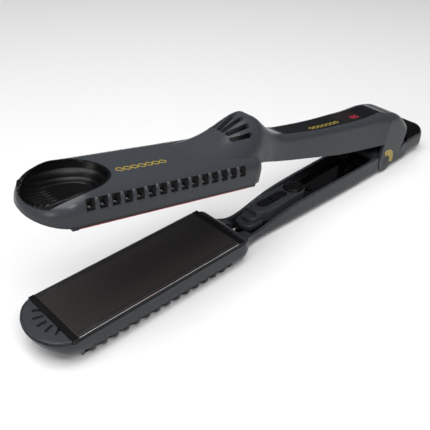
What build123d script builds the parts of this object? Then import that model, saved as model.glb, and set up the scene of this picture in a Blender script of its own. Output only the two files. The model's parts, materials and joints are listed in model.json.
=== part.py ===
from build123d import *
import os
from math import cos, radians, sin

os.makedirs("parts", exist_ok=True)

# A wide-plate hair iron: two arms on a rear hinge, shown open and lying on its lower arm.
# Each arm is drawn in its own frame, in millimetres: the hinge axis is Y through the origin, the nose
# points along -X and the two plates meet at z = CONTACT when the iron is closed.

# ---- Driving dimensions ----
PLATE_LENGTH = 110.0
PLATE_WIDTH = 40.0
PLATE_REAR = -154.0              # x of the plate's hinge end
PLATE_FRONT = PLATE_REAR - PLATE_LENGTH
PLATE_THICK = 2.2
PLATE_GAP = 0.3                  # between the two plates when the iron is closed
CONTACT = 9.2                    # height of the closing plane above the hinge axis
OPEN_ANGLE = 13.26               # degrees between the arms as the iron stands

HEAD_HALF = 22.0                 # half-width of both heads
HEAD_REAR = -142.4
HEAD_REAR_CORNER = 9.0
NOSE_DEPTH = 16.5                # length of the half-elliptical nose
REAR_TUCK_X, REAR_TUCK = -147.4, 6.0  # how the rear wall curves in towards the rim
DECK = 26.5                      # flat top of the upper head
SHOULDER = 8.0                   # rounding along the head's long edges
YOKE_SHOULDER = 6.0
CAVITY_REAR = -150.0             # where the hollow of both heads ends
BASE = -9.4                      # underside of the lower arm
WALL = 2.0
RIM_TOP = 6.6                    # top edge of the lower head's wall
RIM_FOOT = 2 * CONTACT - RIM_TOP # bottom edge of the upper head's wall

VENT_COUNT = 15
VENT_PITCH = 6.9
VENT_WIDTH = 4.6
VENT_FIRST = -259.4

PIN_RADIUS = 2.5
BUSH_RADIUS = 4.0
RUNNING = 0.05                   # radial clearance of a running fit
ELLIPTIC = 0.5523                # fullness of a shoulder that is a quarter of an ellipse
NECK_HALF = 12.0                 # lower arm between the cheeks
CHEEK_INNER = 12.8
CHEEK_OUTER = 15.0
SEAM_X = -8.0                    # joint between the upper shell and the yoke
CAP_FRONT = 26.5                 # joint between the lower shell and the rear cap
CAP_END = 51.0
SWIVEL_END = 53.0                # rear end of the cord inlet
INLET_Z = 1.6                    # height of the cord inlet above the hinge axis
DISC_RADIUS = 8.0                # round end of each cheek
FIT_GAP = 0.3                    # clearance between parts that are not a fit

SCREW_HEAD = 2.4
SCREW_HEAD_DEEP = 1.6
SCREW_SHANK = 1.3
SCREW_LENGTH = 4.0
SCREW_SLOT = 0.7

# ---- Where the arms stand in the object's frame ----
PIVOT_X = -(PLATE_FRONT - NOSE_DEPTH + SWIVEL_END) / 2
PIVOT_Z = -BASE
LOWER = Location((PIVOT_X, 0, PIVOT_Z))
UPPER = LOWER * Location((0, 0, 0), (0, OPEN_ANGLE, 0))


def save(piece, name, place):
    """Write one finished piece, moved from its arm's frame to the object's frame."""
    placed = piece.moved(place)
    placed.label = name
    export_step(placed, f"parts/{name}.step")


def arch(x, half, flat, foot, spring, crown, fullness=ELLIPTIC):
    """Cross-section at x: upright walls, curved shoulders and a flat crown."""
    up, across = fullness * (crown - spring), fullness * (half - flat)
    with BuildSketch(Plane.YZ.offset(x)) as section:
        with BuildLine():
            Line((-half, foot), (half, foot))
            Line((half, foot), (half, spring))
            Bezier((half, spring), (half, spring + up), (flat + across, crown), (flat, crown))
            Line((flat, crown), (-flat, crown))
            Bezier((-flat, crown), (-flat - across, crown), (-half, spring + up), (-half, spring))
            Line((-half, spring), (-half, foot))
        make_face()
    return section.sketch


def inner(section, wall):
    """The same cross-section drawn a wall's thickness inside, and open at its foot."""
    x, half, flat, foot, spring, crown, *fullness = section
    return arch(x, half - wall, max(flat - wall / 2, 0.8), foot - wall, spring, crown - wall, *fullness)


def head_plan(height, inset=0.0):
    """A head seen from above: half-elliptical nose, straight sides, rounded rear corners."""
    half = HEAD_HALF - inset
    rear = HEAD_REAR - inset
    with BuildSketch(Plane.XY.offset(height)) as plan:
        with BuildLine():
            EllipticalCenterArc((PLATE_FRONT, 0), NOSE_DEPTH - inset, half, start_angle=90, arc_size=180)
            Polyline((PLATE_FRONT, half), (rear, half), (rear, -half), (PLATE_FRONT, -half))
        make_face()
        fillet(plan.vertices().group_by(Axis.X)[-1], HEAD_REAR_CORNER)
    return plan.sketch


def bar(x_range, half_width, z_range):
    """A plain block that is centred across the arm."""
    length, height = x_range[1] - x_range[0], z_range[1] - z_range[0]
    middle = (sum(x_range) / 2, 0, sum(z_range) / 2)
    return Pos(*middle) * Box(length, 2 * half_width, height, mode=Mode.PRIVATE)


def flip(piece):
    """Mirror a head piece about the closing plane, so that it serves the upper arm."""
    return mirror(piece, about=Plane.XY.offset(CONTACT))


def screw(x, y, z, upward):
    """A countersunk-looking pan screw whose head face is at z; upward means that it is driven upwards."""
    way = 1 if upward else -1
    with BuildPart() as fastener:
        with BuildSketch(Plane((x, y, z), z_dir=(0, 0, way))):
            Circle(SCREW_HEAD)
        extrude(amount=SCREW_HEAD_DEEP)
        with BuildSketch(Plane((x, y, z + way * SCREW_HEAD_DEEP), z_dir=(0, 0, way))):
            Circle(SCREW_SHANK)
        extrude(amount=SCREW_LENGTH)
        with BuildSketch(Plane((x, y, z), z_dir=(0, 0, way))):
            Rectangle(1.5 * SCREW_HEAD, SCREW_SLOT)
            Rectangle(SCREW_SLOT, 1.5 * SCREW_HEAD)
        extrude(amount=SCREW_SLOT, mode=Mode.SUBTRACT)
    return fastener.part


def rings(centre, axis, count, pitch, coil_radius, wire_radius):
    """A close-wound coil spring, drawn as touching rings along its axis."""
    with BuildPart() as coil:
        for turn in range(count):
            place = Vector(*centre) + Vector(*axis) * (pitch * (turn - (count - 1) / 2))
            with Locations(Plane(place, z_dir=axis).location):
                Torus(coil_radius, wire_radius)
    return coil.part


# =====================================================================================
# Upper arm
# =====================================================================================

# x, half-width, flat half-width, foot, spring line, crown
HANDLE_SECTIONS = [
    (-200.0, 17.0, 12.0, 20.0, 22.0, 25.4, 0.55),
    (-190.0, 17.1, 10.0, 20.0, 22.0, 26.5, 0.50),
    (-180.0, 17.3, 7.4, 20.0, 22.0, 28.7, 0.40),
    (-170.0, 17.4, 5.2, 20.0, 22.3, 32.7, 0.32),
    (-160.0, 17.4, 3.8, 20.0, 23.6, 38.3, 0.30),
    (-151.0, 17.0, 3.5, 20.0, 25.4, 43.4, 0.32),
    (-145.0, 16.0, 3.6, 20.2, 26.4, 44.5, 0.38),
    (-138.0, 14.0, 4.2, 19.4, 26.6, 41.0, 0.45),
    (-130.0, 11.6, 4.8, 17.6, 26.6, 35.6, ELLIPTIC),
    (-120.0, 10.2, 5.0, 15.8, 26.4, 31.6, ELLIPTIC),
    (-104.0, 9.9, 5.4, 14.2, 26.0, 30.3, ELLIPTIC),
    (-86.0, 10.3, 6.2, 13.0, 26.0, 30.3, ELLIPTIC),
    (-68.0, 10.9, 6.9, 11.9, 26.4, 30.9, ELLIPTIC),
    (-50.0, 11.7, 7.4, 11.4, 27.4, 32.0, ELLIPTIC),
    (-30.0, 12.8, 7.6, 12.0, 28.6, 33.6, ELLIPTIC),
    (SEAM_X, CHEEK_OUTER, 8.0, 13.6, 28.6, 34.8, ELLIPTIC),
]
COVERED_SECTIONS = HANDLE_SECTIONS[8:]
LIP = 15.6                       # height of the nose's front lip
DISH_X = -261.0                  # centre of the thumb rest's oval dish
DISH_LONG, DISH_SHORT = 24.0, 17.8
DISH_FLOOR = 15.4                # height of the hollow under the rubber, at its centre
DISH_TILT = 5.6                  # degrees by which the dish falls towards the lip
DISH_ROUND = 11.0
PAD_THICK = 1.6
PAD_BORDER = 1.2
LIP_WALL = 0.9                   # thin edge of the shell in front of the rubber
VENT_LOW, VENT_HIGH = 18.2, 23.6
HUMP_SLOT_X = (-163.8, -149.8)
HUMP_SLOT_WIDTH = 3.0
HUMP_AXIS_Z = 27.0               # the hump's slots fan out from this line
HUMP_SLOT_DEPTH = 6.5            # and begin at this distance from it
HUMP_SLOT_ANGLES = (-50, -30, -10, 10, 30, 50)
# half-width of the gloss strip along the handle
INLAY_OUTLINE = [(-136.5, 2.2), (-128.0, 4.6), (-107.0, 5.8), (-93.0, 6.6), (-77.0, 7.2), (-47.0, 8.0),
                 (-30.0, 8.0), (SEAM_X - 0.2, 7.2)]
INLAY_THICK = 1.2
# the upper head is hollow in steps that keep clear of the dish: front x, half-width, ceiling
UPPER_HOLLOWS = [(-253.0, HEAD_HALF - WALL, 13.6), (-253.0, 12.0, 14.9), (-239.0, HEAD_HALF - WALL, 18.2),
                 (-233.0, HEAD_HALF - WALL, 20.5), (-233.0, HEAD_HALF - SHOULDER, DECK - WALL)]
WINDOW_X = (-54.0, -32.0)
DISPLAY_Z = (25.6, 30.1)
WINDOW_HALF = 6.0


def dish(border, raised):
    """The thumb rest's hollow: an oval bowl that tilts towards the nose and runs out at its lip."""
    tilt = radians(DISH_TILT)
    floor = Plane((DISH_X, 0, DISH_FLOOR + raised), x_dir=(cos(tilt), 0, sin(tilt)),
                  z_dir=(-sin(tilt), 0, cos(tilt)))
    with BuildPart() as bowl:
        with BuildSketch(floor):
            Ellipse(DISH_LONG - border, DISH_SHORT - border)
        extrude(amount=DECK)
        fillet(bowl.edges().group_by(Axis.Z)[0], DISH_ROUND - border)
    return bowl.part


def nose_roof(deck, lip, drop_x, knee):
    """Everything under the deck and under the fall of the nose, as a wide extrusion."""
    front, rear = PLATE_FRONT - NOSE_DEPTH - FIT_GAP, HEAD_REAR + WALL
    with BuildPart() as roof:
        with BuildSketch(Plane.XZ):
            with BuildLine():
                Polyline((drop_x, deck), (rear, deck), (rear, -DECK), (front, -DECK), (front, lip))
                Spline((drop_x, deck), knee, (front, lip), tangents=((-1, 0), (-0.45, -0.9)))
            make_face()
        extrude(amount=HEAD_HALF + WALL, both=True)
    return roof.part


def rounded_head(rim, deck, lip, drop_x, knee, shoulder=SHOULDER):
    """A solid head on its rim, with soft shoulders, a falling nose and a rear wall that curves in."""
    with BuildPart() as head:
        extrude(head_plan(rim), amount=deck - rim + WALL)
        add(nose_roof(deck, lip, drop_x, knee), mode=Mode.INTERSECT)
        top_edges = head.edges().filter_by(lambda e: e.center().Z > lip - 1)
        across = top_edges.filter_by(Axis.Y).filter_by(lambda e: e.center().X < HEAD_REAR - 1)
        fillet(top_edges - across - top_edges.filter_by(Axis.Z), shoulder)
        with BuildSketch(Plane.XZ):
            with BuildLine():
                curve = EllipticalCenterArc((REAR_TUCK_X, rim + REAR_TUCK), HEAD_REAR - REAR_TUCK_X,
                                            REAR_TUCK, start_angle=270, arc_size=90)
                Polyline(curve @ 1, (HEAD_REAR + 1, rim + REAR_TUCK), (HEAD_REAR + 1, rim - 1),
                         (REAR_TUCK_X, rim - 1), curve @ 0)
            make_face()
        extrude(amount=2 * HEAD_HALF, both=True, mode=Mode.SUBTRACT)
    return head.part


def handle_body(sections, lowered=0.0):
    """The hump and handle as one solid, with its crown lowered if asked."""
    with BuildPart() as solid:
        loft([arch(x, half, flat, foot, spring - lowered, crown - lowered, fullness)
              for x, half, flat, foot, spring, crown, fullness in sections])
    return solid.part


UPPER_HEAD = rounded_head(RIM_FOOT, DECK, LIP, -256.0, (-271.0, 22.0))

with BuildPart() as pad_space:
    extrude(head_plan(RIM_FOOT, LIP_WALL), amount=2 * DECK)
    add(dish(0, 0), mode=Mode.INTERSECT)

# Gloss strip let into the top of the handle, with the display window in it
with BuildPart() as inlay_skin:
    with BuildSketch(Plane.XY.offset(RIM_FOOT)):
        with BuildLine():
            near = Spline(*INLAY_OUTLINE)
            far = Spline(*[(x, -half) for x, half in INLAY_OUTLINE])
            Line(near @ 1, far @ 1)
            ThreePointArc(near @ 0, (INLAY_OUTLINE[0][0] - 1.4, 0), far @ 0)
        make_face()
    extrude(amount=2 * DECK)
    add(handle_body(HANDLE_SECTIONS), mode=Mode.INTERSECT)
    add(handle_body(HANDLE_SECTIONS, INLAY_THICK), mode=Mode.SUBTRACT)

window_block = bar(WINDOW_X, WINDOW_HALF, (RIM_FOOT, 2 * DECK))

with BuildPart() as handle_inlay:
    add(inlay_skin.part)
    add(window_block, mode=Mode.SUBTRACT)
save(handle_inlay.part, "handle_inlay", UPPER)

with BuildPart() as display_window:
    add(inlay_skin.part)
    add(window_block, mode=Mode.INTERSECT)
save(display_window.part, "display_window", UPPER)

with BuildPart() as display_module:
    add(bar((WINDOW_X[0] + 1, WINDOW_X[1] - 1), WINDOW_HALF - 1, DISPLAY_Z))
save(display_module.part, "display_module", UPPER)

with BuildPart() as upper_shell:
    add(UPPER_HEAD)
    add(handle_body(HANDLE_SECTIONS))
    # hollow head, then hollow hump and handle
    for front, half, ceiling in UPPER_HOLLOWS:
        add(bar((front, CAVITY_REAR), half, (RIM_FOOT, ceiling)), mode=Mode.SUBTRACT)
    loft([inner(section, WALL) for section in HANDLE_SECTIONS], mode=Mode.SUBTRACT)
    add(pad_space.part, mode=Mode.SUBTRACT)
    add(inlay_skin.part, mode=Mode.SUBTRACT)
    add(bar((WINDOW_X[0] + 0.7, WINDOW_X[1] - 0.7), WINDOW_HALF - 0.7, (DISPLAY_Z[0], 2 * DECK)),
        mode=Mode.SUBTRACT)
    # a row of vents along each shoulder
    for side in (-1, 1):
        for vent in range(VENT_COUNT):
            with Locations((VENT_FIRST + vent * VENT_PITCH, side * HEAD_HALF, (VENT_LOW + VENT_HIGH) / 2)):
                Box(VENT_WIDTH, 2 * (WALL + 2.5), VENT_HIGH - VENT_LOW, mode=Mode.SUBTRACT)
    # slots that fan out over the crest of the hump
    slot_middle, slot_length = sum(HUMP_SLOT_X) / 2, HUMP_SLOT_X[1] - HUMP_SLOT_X[0]
    for angle in HUMP_SLOT_ANGLES:
        fan = Plane((slot_middle, 0, HUMP_AXIS_Z), x_dir=(1, 0, 0),
                    z_dir=(0, -sin(radians(angle)), cos(radians(angle))))
        with BuildSketch(fan.offset(HUMP_SLOT_DEPTH)):
            SlotOverall(slot_length, HUMP_SLOT_WIDTH)
        extrude(amount=DECK, mode=Mode.SUBTRACT)
save(upper_shell.part, "upper_shell", UPPER)

with BuildPart() as thumb_rest:
    add(UPPER_HEAD)
    add(pad_space.part, mode=Mode.INTERSECT)
    add(dish(PAD_BORDER, PAD_THICK), mode=Mode.SUBTRACT)
save(thumb_rest.part, "thumb_rest", UPPER)

with BuildPart() as handle_cover:
    loft([arch(x, half - WALL - FIT_GAP, half - WALL - FIT_GAP - 1, foot + 0.2, foot + 1.2, foot + 2.2)
          for x, half, _, foot, _, _, _ in COVERED_SECTIONS])
    COVER_SCREWS = ((-122.0, 16.2), (-24.0, 12.5))
    for x, z in COVER_SCREWS:
        with Locations((x, 0, z)):
            Cylinder(SCREW_HEAD + 0.2, 2 * 0.9, mode=Mode.SUBTRACT)
            Cylinder(SCREW_SHANK + 0.1, 12, mode=Mode.SUBTRACT)
save(handle_cover.part, "handle_cover", UPPER)

save(Compound([screw(x, 0, z + 0.9 - SCREW_HEAD_DEEP, True) for x, z in COVER_SCREWS]),
     "upper_cover_screws", UPPER)

BOARD_TOP = 22.4
with BuildPart() as control_board:
    add(bar((-112, -30), 6.8, (BOARD_TOP - 1.4, BOARD_TOP)))
save(control_board.part, "control_board", UPPER)

with BuildPart() as board_parts:
    add(bar((-108, -94), 5.4, (BOARD_TOP, BOARD_TOP + 4.4)))
    with Locations((-86, 0, BOARD_TOP + 2.6)):
        Cylinder(2.6, 11, rotation=(90, 0, 0))
    add(bar((-77, -68), 5.0, (BOARD_TOP, BOARD_TOP + 3.6)))
save(board_parts.part, "board_parts", UPPER)


# ---- Yoke: the handle's rear end with the two hinge cheeks ----
NOTCH = (18.0, 9.0)              # hollow corner in the cheek's rear edge
CHEEK_HEEL = (7.2, -3.5)         # where the rear edge meets the round end
YOKE_SLOT_TOP = 14.6


with BuildPart() as yoke_hollow:
    with BuildSketch(Plane.XZ):
        with BuildLine():
            roof = Spline((SEAM_X + WALL, 32.6), (5.2, 30.6), (15.0, 25.0), (19.6, 18.5),
                          tangents=((1, 0), (0, -1)))
            Polyline(roof @ 1, (17.5, YOKE_SLOT_TOP), (30, YOKE_SLOT_TOP), (30, -20), (-30, -20),
                     (-30, YOKE_SLOT_TOP), (SEAM_X + WALL, YOKE_SLOT_TOP), roof @ 0)
        make_face()
    extrude(amount=CHEEK_INNER, both=True)

with BuildPart() as yoke:
    with BuildSketch(Plane.XZ):
        with BuildLine():
            back = Spline((SEAM_X, 34.8), (6.0, 33.0), (17.0, 27.0), (22.0, 18.5), tangents=((1, 0), (0, -1)))
            Polyline(back @ 1, NOTCH, CHEEK_HEEL, (0, 0), (-DISC_RADIUS, 0), (SEAM_X, 13.6), back @ 0)
        make_face()
        Circle(DISC_RADIUS)
    extrude(amount=CHEEK_OUTER, both=True)
    crown_edges = yoke.edges().filter_by(lambda e: e.center().Z > 25 and abs(e.center().Y) > CHEEK_OUTER - 1)
    fillet(crown_edges.filter_by(GeomType.BSPLINE), YOKE_SHOULDER)
    add(yoke_hollow.part, mode=Mode.SUBTRACT)
    add(bar((SEAM_X - 5, SEAM_X + 5), 9, (17, 29)), mode=Mode.SUBTRACT)
    with Locations(Location((0, 0, 0), (90, 0, 0))):
        Cylinder(PIN_RADIUS, 4 * CHEEK_OUTER, mode=Mode.SUBTRACT)
    # seats for the pivot caps and for the accents round them
    CAP_RADIUS, CAP_THICK = 3.7, 1.2
    ACCENT_INNER, ACCENT_OUTER, ACCENT_THICK = 4.0, 8.6, 0.6
    ACCENT_START, ACCENT_SWEEP = -12.0, 136.0
    for side in (-1, 1):
        with Locations(Location((0, side * CHEEK_OUTER, 0), (90, 0, 0))):
            Cylinder(CAP_RADIUS, 2 * CAP_THICK, mode=Mode.SUBTRACT)


def accent(side):
    """A flat arc of ring, let into the outer face of one cheek."""
    with BuildPart() as inset:
        with BuildSketch(Plane.XZ.offset(-side * (CHEEK_OUTER - ACCENT_THICK))):
            with BuildLine():
                outer = CenterArc((0, 0), ACCENT_OUTER, ACCENT_START, ACCENT_SWEEP)
                inside = CenterArc((0, 0), ACCENT_INNER, ACCENT_START, ACCENT_SWEEP)
                Line(outer @ 0, inside @ 0)
                Line(outer @ 1, inside @ 1)
            make_face()
        extrude(amount=-side * (ACCENT_THICK + 0.1))
    return inset.part


accents = [accent(side) for side in (-1, 1)]
with BuildPart() as upper_yoke:
    add(yoke.part)
    for inset in accents:
        add(inset, mode=Mode.SUBTRACT)
save(upper_yoke.part, "upper_yoke", UPPER)
save(Compound(accents), "pivot_accents", UPPER)

with BuildPart() as pivot_caps:
    for side in (-1, 1):
        with Locations(Location((0, side * (CHEEK_OUTER - CAP_THICK / 2 + 0.05), 0), (90, 0, 0))):
            Cylinder(CAP_RADIUS - 0.05, CAP_THICK - 0.1)
save(pivot_caps.part, "pivot_caps", UPPER)

with BuildPart() as hinge_pin:
    Cylinder(PIN_RADIUS, 2 * (CHEEK_OUTER - CAP_THICK), rotation=(90, 0, 0))
save(hinge_pin.part, "hinge_pin", UPPER)


# =====================================================================================
# Heads: the pieces that both arms have, drawn for the lower arm
# =====================================================================================

PLATE_TOP = CONTACT - PLATE_GAP / 2
PLATE_FOOT = PLATE_TOP - PLATE_THICK
CARRIER_HALF = 21.5
CARRIER_FOOT = RIM_TOP
CARRIER_TOP = 8.2
STRIP_FRONT = PLATE_FRONT - 3.4
STRIP_REAR = PLATE_REAR + 4.0
PLATE_PLAY = 0.15
HEATER_X = (-249.0, -169.0)
HEATER_HALF = 8.8


def plate():
    """Smooth heating plate, with two ribs under it that hold the heater."""
    with BuildPart() as slab:
        add(bar((PLATE_FRONT, PLATE_REAR), PLATE_WIDTH / 2, (PLATE_FOOT, PLATE_TOP)))
        fillet(slab.faces().sort_by(Axis.Z)[-1].edges(), 0.5)
        for side in (-1, 1):
            with Locations((sum(HEATER_X) / 2, side * (HEATER_HALF + 0.7), PLATE_FOOT - 1.6)):
                Box(HEATER_X[1] - HEATER_X[0] + 6, 1.2, 3.2)
    return slab.part


def plate_carrier():
    """Heat-proof frame that surrounds the plate, with a taller strip at each end."""
    with BuildPart() as frame:
        add(bar((STRIP_FRONT, STRIP_REAR), CARRIER_HALF, (CARRIER_FOOT, CARRIER_TOP)))
        add(bar((STRIP_FRONT, PLATE_FRONT), CARRIER_HALF - 0.2, (CARRIER_TOP, PLATE_TOP - 0.1)))
        add(bar((PLATE_REAR, STRIP_REAR), CARRIER_HALF - 0.2, (CARRIER_TOP, PLATE_TOP - 0.4)))
        add(bar((PLATE_FRONT - PLATE_PLAY, PLATE_REAR + PLATE_PLAY), PLATE_WIDTH / 2 + PLATE_PLAY,
                (0, 2 * CONTACT)), mode=Mode.SUBTRACT)
    return frame.part


def edge_trims():
    """Two thin bright bars that run along the carrier beside the plate."""
    return Compound([Pos(sum((PLATE_FRONT, PLATE_REAR)) / 2, side * 20.8, CARRIER_TOP + 0.3)
                     * Box(PLATE_LENGTH - 1, 0.7, 0.6) for side in (-1, 1)])


def heater():
    with BuildPart() as element:
        add(bar(HEATER_X, HEATER_HALF, (PLATE_FOOT - 2.8, PLATE_FOOT)))
    return element.part


def insulator():
    with BuildPart() as sheet:
        add(bar((HEATER_X[0] - 2, HEATER_X[1] + 2), HEATER_HALF, (PLATE_FOOT - 3.2, PLATE_FOOT - 2.8)))
    return sheet.part


def heater_clip():
    """Spring clip that grips the plate's ribs over the heater."""
    with BuildPart() as clip:
        add(bar((-238, -180), 11.2, (PLATE_FOOT - 3.9, PLATE_FOOT - 0.8)))
        add(bar((-239, -179), 10.3, (PLATE_FOOT - 3.3, PLATE_FOOT)), mode=Mode.SUBTRACT)
    return clip.part


def sensor():
    with BuildPart() as bead:
        with Locations((-209, 14.0, PLATE_FOOT - 1.2)):
            Cylinder(1.2, 5, rotation=(0, 90, 0))
    return bead.part


def thermal_fuse():
    with BuildPart() as body:
        with Locations((-195, -14.0, PLATE_FOOT - 1.9)):
            Cylinder(1.9, 11, rotation=(0, 90, 0))
    return body.part


def heat_shield(front, open_front):
    """Tray that keeps the plate's heat off the shell; the upper one has no front wall."""
    hollow_front = front - 1 if open_front else front + 1
    with BuildPart() as tray:
        add(bar((front, -156), 19.4, (0.4, 5.2)))
        add(bar((hollow_front, -157), 18.4, (1.4, 8)), mode=Mode.SUBTRACT)
        for x, y in SHIELD_LEAD_HOLES:
            with Locations((x, y, 3.4)):
                Box(4, 2.6, 2.6, mode=Mode.SUBTRACT)
    return tray.part


COVER_TOP = 8.4
FAN_X, FAN_RADIUS, FAN_STEP = -255.0, 16.8, 18.2


def nose_cover():
    """D-shaped cover in front of the plate, with a fan of five vents."""
    with BuildPart() as cover:
        extrude(head_plan(RIM_TOP, 0.8), amount=COVER_TOP - RIM_TOP)
        add(bar((STRIP_FRONT - 0.1, 0), 2 * HEAD_HALF, (0, 20)), mode=Mode.SUBTRACT)
        rim = cover.edges().filter_by(lambda e: e.center().Z > COVER_TOP - 0.1)
        fillet(rim.filter_by(Axis.Y, reverse=True), 1.0)
        for step in range(-2, 3):
            turn = Location((FAN_X, 0, RIM_TOP), (0, 0, 180 + step * FAN_STEP))
            with BuildSketch(Plane(turn * Location((FAN_RADIUS, 0, 0)))):
                SlotOverall(5.8, 1.9)
            extrude(amount=10, mode=Mode.SUBTRACT)
    return cover.part


LEAD_HALF_SPACING = 4.0
LEAD_RADIUS = 0.9
SHIELD_LEAD_HOLES = [(-156.5, -LEAD_HALF_SPACING), (-156.5, LEAD_HALF_SPACING)]


def leads(route, bend):
    """Two insulated wires side by side, along a route of x and z values."""
    pair = []
    for side in (-1, 1):
        y = side * LEAD_HALF_SPACING
        with BuildPart() as wire:
            with BuildLine() as path:
                FilletPolyline(*[(x, y, z) for x, z in route], radius=bend)
            with BuildSketch(path.line ^ 0):
                Circle(LEAD_RADIUS)
            sweep()
        pair.append(wire.part)
    return Compound(pair)


HEAD_PIECES = {
    "plate": plate, "plate_carrier": plate_carrier, "edge_trims": edge_trims, "heater": heater,
    "insulator": insulator, "heater_clip": heater_clip, "sensor": sensor, "thermal_fuse": thermal_fuse,
    "nose_cover": nose_cover,
}
for name, make in HEAD_PIECES.items():
    save(make(), f"lower_{name}", LOWER)
    save(flip(make()), f"upper_{name}", UPPER)

save(heat_shield(-262, False), "lower_heat_shield", LOWER)
save(flip(heat_shield(-238, True)), "upper_heat_shield", UPPER)
save(leads([(-160, 3.4), (-152.5, 3.4), (-138, -4.8), (-22, -4.8)], 5), "lower_leads", LOWER)
save(leads([(-160, 15.0), (-155.5, 15.0), (-146, 24.4), (-124, 24.0), (-113, 21.7)], 3), "upper_leads", UPPER)


# =====================================================================================
# Lower arm
# =====================================================================================

REAR_HALF = 14.5

# drawn upside down, so that its rounded underside is the crown of each section:
# x, half-width, flat half-width, foot (minus the top edge's height), spring line, crown
BELLY_SECTIONS = [
    (-158.0, 19.0, 14.0, -5.6, 3.2, 8.9),
    (-150.0, 17.8, 13.0, -4.6, 4.0, 9.2),
    (-142.0, 14.7, 10.3, -2.0, 4.2, 9.1),
    (-134.0, 12.5, 8.2, 0.4, 4.2, 9.0),
    (-124.0, 11.9, 7.6, 0.2, 4.0, 9.0),
    (-110.0, 12.3, 7.8, -2.2, 3.8, 9.2),
    (-95.0, 12.9, 8.3, -4.2, 3.6, -BASE),
    (-80.0, 13.3, 8.8, -4.9, 4.0, -BASE),
    (-64.0, 13.7, 9.2, -5.0, 4.3, -BASE),
    (-48.0, 14.1, 9.6, -5.0, 4.6, -BASE),
    (-32.0, 14.4, 9.9, -5.0, 4.8, -BASE),
    (-16.0, REAR_HALF, 10.0, -5.0, 4.8, -BASE),
]
HOLLOW_SECTIONS = BELLY_SECTIONS[3:]
HUB_TOP = 6.6
HUB_X = (-11.0, 24.0)
FLOOR = -BASE - WALL
SHELL_SCREWS = ((-226.0, 0.0), (-160.0, 0.0), (-100.0, 0.0), (-28.0, 0.0))

LOWER_LIP = -4.5                 # the underside rises to this height at the nose (upside down)
LOWER_VENT = (-8.7, -1.4)
BELLY_SHOULDER = 10.0            # rounding of the lower head's underside

with BuildPart() as belly:
    add(rounded_head(-RIM_TOP, -BASE, LOWER_LIP, -253.0, (-271.0, 3.2), BELLY_SHOULDER))
    loft([arch(*section) for section in BELLY_SECTIONS])
    extrude(arch(-16.0, REAR_HALF, 10.0, -5.0, 4.8, -BASE), amount=CAP_FRONT + 16.0, dir=(1, 0, 0))
    add(bar((-300, 60), 2 * HEAD_HALF, (-BASE, -BASE + 5)), mode=Mode.SUBTRACT)
    # hollow head with a ledge for the carrier, then the handle and the hinge end
    add(bar((-263, CAVITY_REAR), HEAD_HALF - WALL, (-RIM_TOP, 2.0)), mode=Mode.SUBTRACT)
    add(bar((PLATE_FRONT - FIT_GAP, CAVITY_REAR), PLATE_WIDTH / 2 + 0.5, (-RIM_TOP, -RIM_TOP + 1.6)),
        mode=Mode.SUBTRACT)
    add(bar((-255, CAVITY_REAR), HEAD_HALF - SHOULDER, (0, FLOOR - 0.4)), mode=Mode.SUBTRACT)
    loft([inner(section, WALL) for section in HOLLOW_SECTIONS], mode=Mode.SUBTRACT)
    add(bar((-16.5, CAP_FRONT - WALL), 9.6, (-4.9, FLOOR)), mode=Mode.SUBTRACT)
    add(bar((-40, -12), 11.4, (-12, 4.5)), mode=Mode.SUBTRACT)
    # passage for the leads through the waist
    add(bar((-152, -130), 5.6, (-3.4, 6.2)), mode=Mode.SUBTRACT)
    for side in (-1, 1):
        for vent in range(VENT_COUNT):
            with Locations((VENT_FIRST + vent * VENT_PITCH, side * HEAD_HALF, -sum(LOWER_VENT) / 2)):
                Box(VENT_WIDTH, 2 * (WALL + 3.5), LOWER_VENT[1] - LOWER_VENT[0], mode=Mode.SUBTRACT)
    for x, y in SHELL_SCREWS:
        with Locations((x, y, -BASE)):
            Cylinder(SCREW_HEAD + 0.1, 2 * (SCREW_HEAD_DEEP + 0.3), mode=Mode.SUBTRACT)
            Cylinder(SCREW_SHANK + 0.1, 8, mode=Mode.SUBTRACT)

# room for both cheeks beside the hub, over the whole travel
with BuildPart() as cheek_room:
    with BuildSketch(Plane.XZ):
        Circle(DISC_RADIUS + 0.4)
        with BuildLine():
            Polyline((-DISC_RADIUS - 0.4, 0), (-DISC_RADIUS - 1.6, 12), (22.4, 12), (22.4, 4.6), (19.8, 4.2),
                     (7.4, -5.6), (0, 0), (-DISC_RADIUS - 0.4, 0))
        make_face()
    extrude(amount=2 * CHEEK_OUTER, both=True)
    add(bar((-30, 30), NECK_HALF, (-20, 20)), mode=Mode.SUBTRACT)

with BuildPart() as lower_shell:
    add(mirror(belly.part, about=Plane.XY))
    # hub that carries the hinge between the cheeks
    add(bar(HUB_X, NECK_HALF, (3.0, HUB_TOP)))
    add(bar((HUB_X[0] + 1.6, HUB_X[1] - 1.6), 9.6, (-1, HUB_TOP - 1.6)), mode=Mode.SUBTRACT)
    add(cheek_room.part, mode=Mode.SUBTRACT)
    with Locations(Location((0, 0, 0), (90, 0, 0))):
        Cylinder(BUSH_RADIUS, 4 * CHEEK_OUTER, mode=Mode.SUBTRACT)
    with Locations(Location((CAP_FRONT, 0, -2), (0, 90, 0))):
        Cylinder(3.0, 6, mode=Mode.SUBTRACT)
save(lower_shell.part, "lower_shell", LOWER)

with BuildPart() as hinge_bushes:
    with Locations(Location((0, 0, 0), (90, 0, 0))):
        Cylinder(BUSH_RADIUS, 2 * NECK_HALF)
        Cylinder(PIN_RADIUS + RUNNING, 2 * NECK_HALF, mode=Mode.SUBTRACT)
        Cylinder(2 * BUSH_RADIUS, 2 * 9.6, mode=Mode.SUBTRACT)
save(hinge_bushes.part, "hinge_bushes", LOWER)

with BuildPart() as thrust_washers:
    for side in (-1, 1):
        with Locations(Location((0, side * (NECK_HALF + CHEEK_INNER) / 2, 0), (90, 0, 0))):
            Cylinder(6.2, 0.5)
            Cylinder(PIN_RADIUS + RUNNING, 0.5, mode=Mode.SUBTRACT)
save(thrust_washers.part, "thrust_washers", LOWER)

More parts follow.
